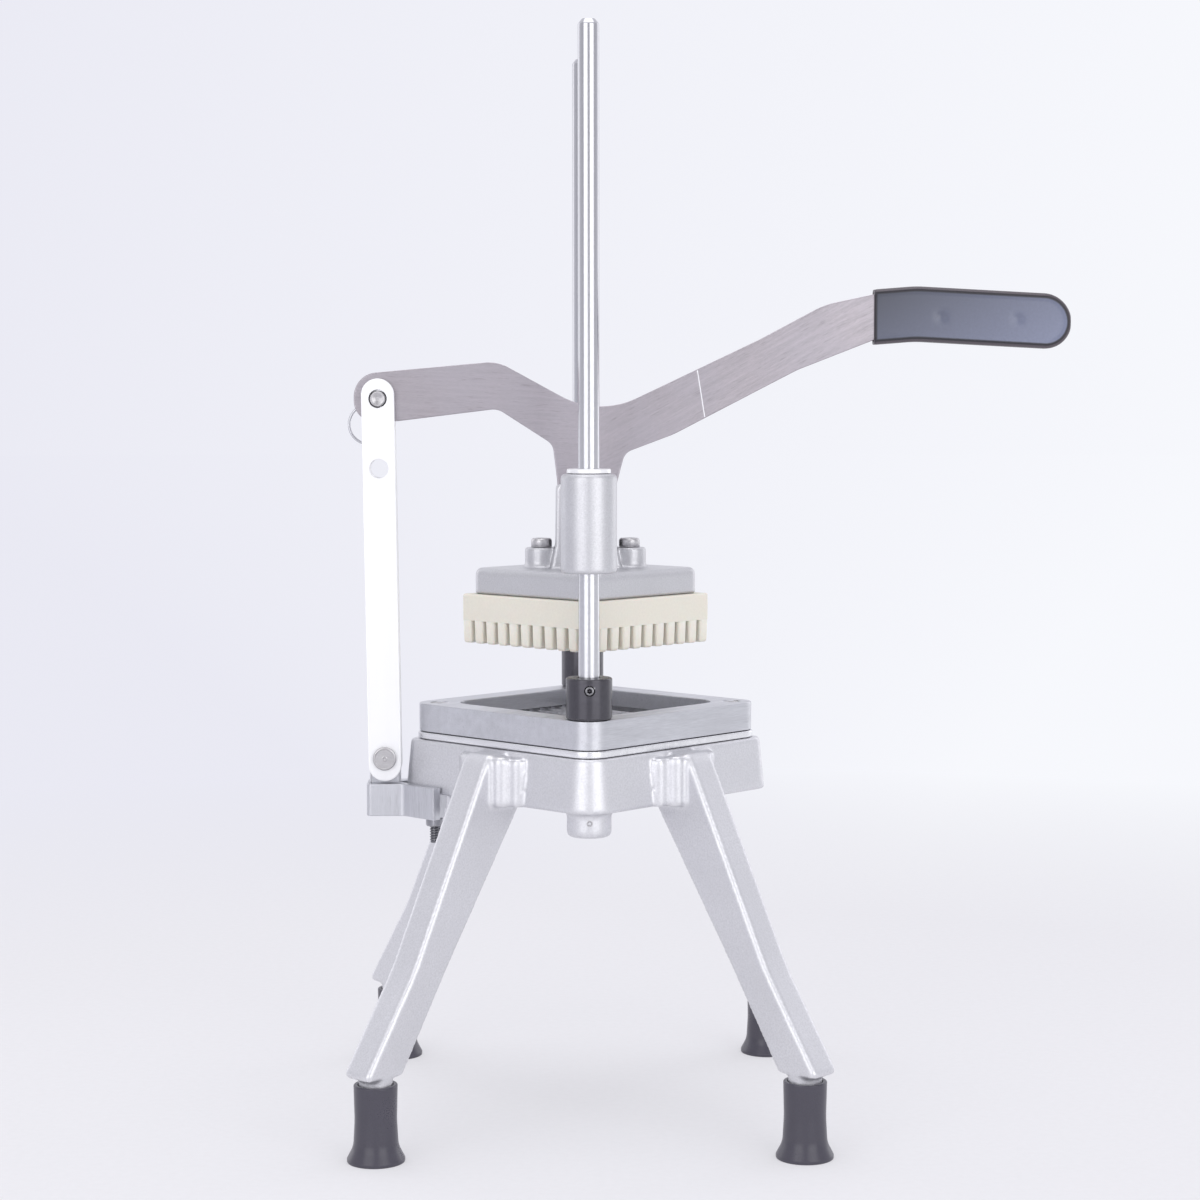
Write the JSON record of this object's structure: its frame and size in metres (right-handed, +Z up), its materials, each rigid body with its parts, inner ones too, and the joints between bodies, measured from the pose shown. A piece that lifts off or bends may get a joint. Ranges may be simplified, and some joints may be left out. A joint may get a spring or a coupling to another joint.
{
  "type": "vegetable dicer",
  "caption": "Bench-top lever press: a handle and link push a toothed block down guide rods, so it drives vegetables through a square grid of blades on a four-legged cast base.",
  "frame": {"origin": "centre of the bounding box, on the surface that the feet stand on", "axes": "+Z up, along the guide rods; +X towards the lever's grip; +Y across, through both guide rods, to the rear rod"},
  "size_m": [0.36, 0.2302, 0.5307],
  "materials": {
    "cast_aluminium": "tumbled casting, fine grain, bright edges",
    "machined_aluminium": "milled and lightly brushed",
    "polished_steel": "polished stainless steel",
    "lever_steel": "brushed along its length, with fine scratches",
    "fastener_steel": "plain zinc-plated fasteners",
    "blade_steel": "ground blade steel",
    "black_oxide": "blackened steel, slightly glossy",
    "ivory_plastic": "moulded food-grade plastic",
    "rubber": "moulded rubber, matt",
    "vinyl": "dipped vinyl, soft gloss"
  },
  "bodies": {
    "base": {"base_casting": "cast_aluminium", "blade_frame": "machined_aluminium", "blade_lower_1": "blade_steel", "blade_lower_10": "blade_steel", "blade_lower_2": "blade_steel", "blade_lower_3": "blade_steel", "blade_lower_4": "blade_steel", "blade_lower_5": "blade_steel", "blade_lower_6": "blade_steel", "blade_lower_7": "blade_steel", "blade_lower_8": "blade_steel", "blade_lower_9": "blade_steel", "blade_plate": "polished_steel", "blade_upper_1": "blade_steel", "blade_upper_10": "blade_steel", "blade_upper_2": "blade_steel", "blade_upper_3": "blade_steel", "blade_upper_4": "blade_steel", "blade_upper_5": "blade_steel", "blade_upper_6": "blade_steel", "blade_upper_7": "blade_steel", "blade_upper_8": "blade_steel", "blade_upper_9": "blade_steel", "bracket_nut_front": "fastener_steel", "bracket_nut_rear": "fastener_steel", "bracket_stud_front": "fastener_steel", "bracket_stud_rear": "fastener_steel", "collar_screw_front": "black_oxide", "collar_screw_rear": "black_oxide", "foot_front_left": "rubber", "foot_front_right": "rubber", "foot_rear_left": "rubber", "foot_rear_right": "rubber", "frame_screw_left": "fastener_steel", "frame_screw_right": "fastener_steel", "guide_rod_front": "polished_steel", "guide_rod_rear": "polished_steel", "link_bracket": "machined_aluminium", "rod_collar_front": "black_oxide", "rod_collar_rear": "black_oxide", "rod_pin_front": "fastener_steel", "rod_pin_rear": "fastener_steel"},
    "head": {"head_bolt_left": "fastener_steel", "head_bolt_right": "fastener_steel", "head_casting": "cast_aluminium", "lever_pivot_front": "fastener_steel", "lever_pivot_rear": "fastener_steel", "pusher_block": "ivory_plastic", "rod_bush_front": "ivory_plastic", "rod_bush_rear": "ivory_plastic"},
    "link": {"link_bar_front": "polished_steel", "link_bar_rear": "polished_steel", "link_rivet": "fastener_steel"},
    "lever": {"lever": "lever_steel", "lever_grip": "vinyl"},
    "release_pin": {"release_pin": "fastener_steel"},
    "pull_ring": {"pull_ring": "polished_steel"}
  },
  "joints": [
    {"name": "head_slide", "type": "slide", "parent": "base", "child": "head", "axis": [0, 0, -1], "range_m": [-0.04, 0.049]},
    {"name": "link_swing", "type": "hinge", "parent": "base", "child": "link", "pos_m": [-0.16178, 0, 0.1767], "axis": [0, -1, 0], "range_deg": [-9.2, 7.5]},
    {"name": "lever_swing", "type": "hinge", "parent": "link", "child": "lever", "pos_m": [-0.16408, 0, 0.3552], "axis": [0, -1, 0], "range_deg": [-17.2, 14]},
    {"name": "release_pin_slide", "type": "slide", "parent": "link", "child": "release_pin", "axis": [0, 1, 0], "range_m": [0, 0.018]},
    {"name": "pull_ring_swing", "type": "hinge", "parent": "release_pin", "child": "pull_ring", "pos_m": [-0.16575, 0.0103, 0.35135], "axis": [0.9171, 0, -0.3986], "range_deg": [0, 95]}
  ],
  "couplings": [
    {"joint": "link_swing", "follows": "head_slide", "rad_per_m": -3.21},
    {"joint": "lever_swing", "follows": "head_slide", "rad_per_m": -6.04}
  ]
}
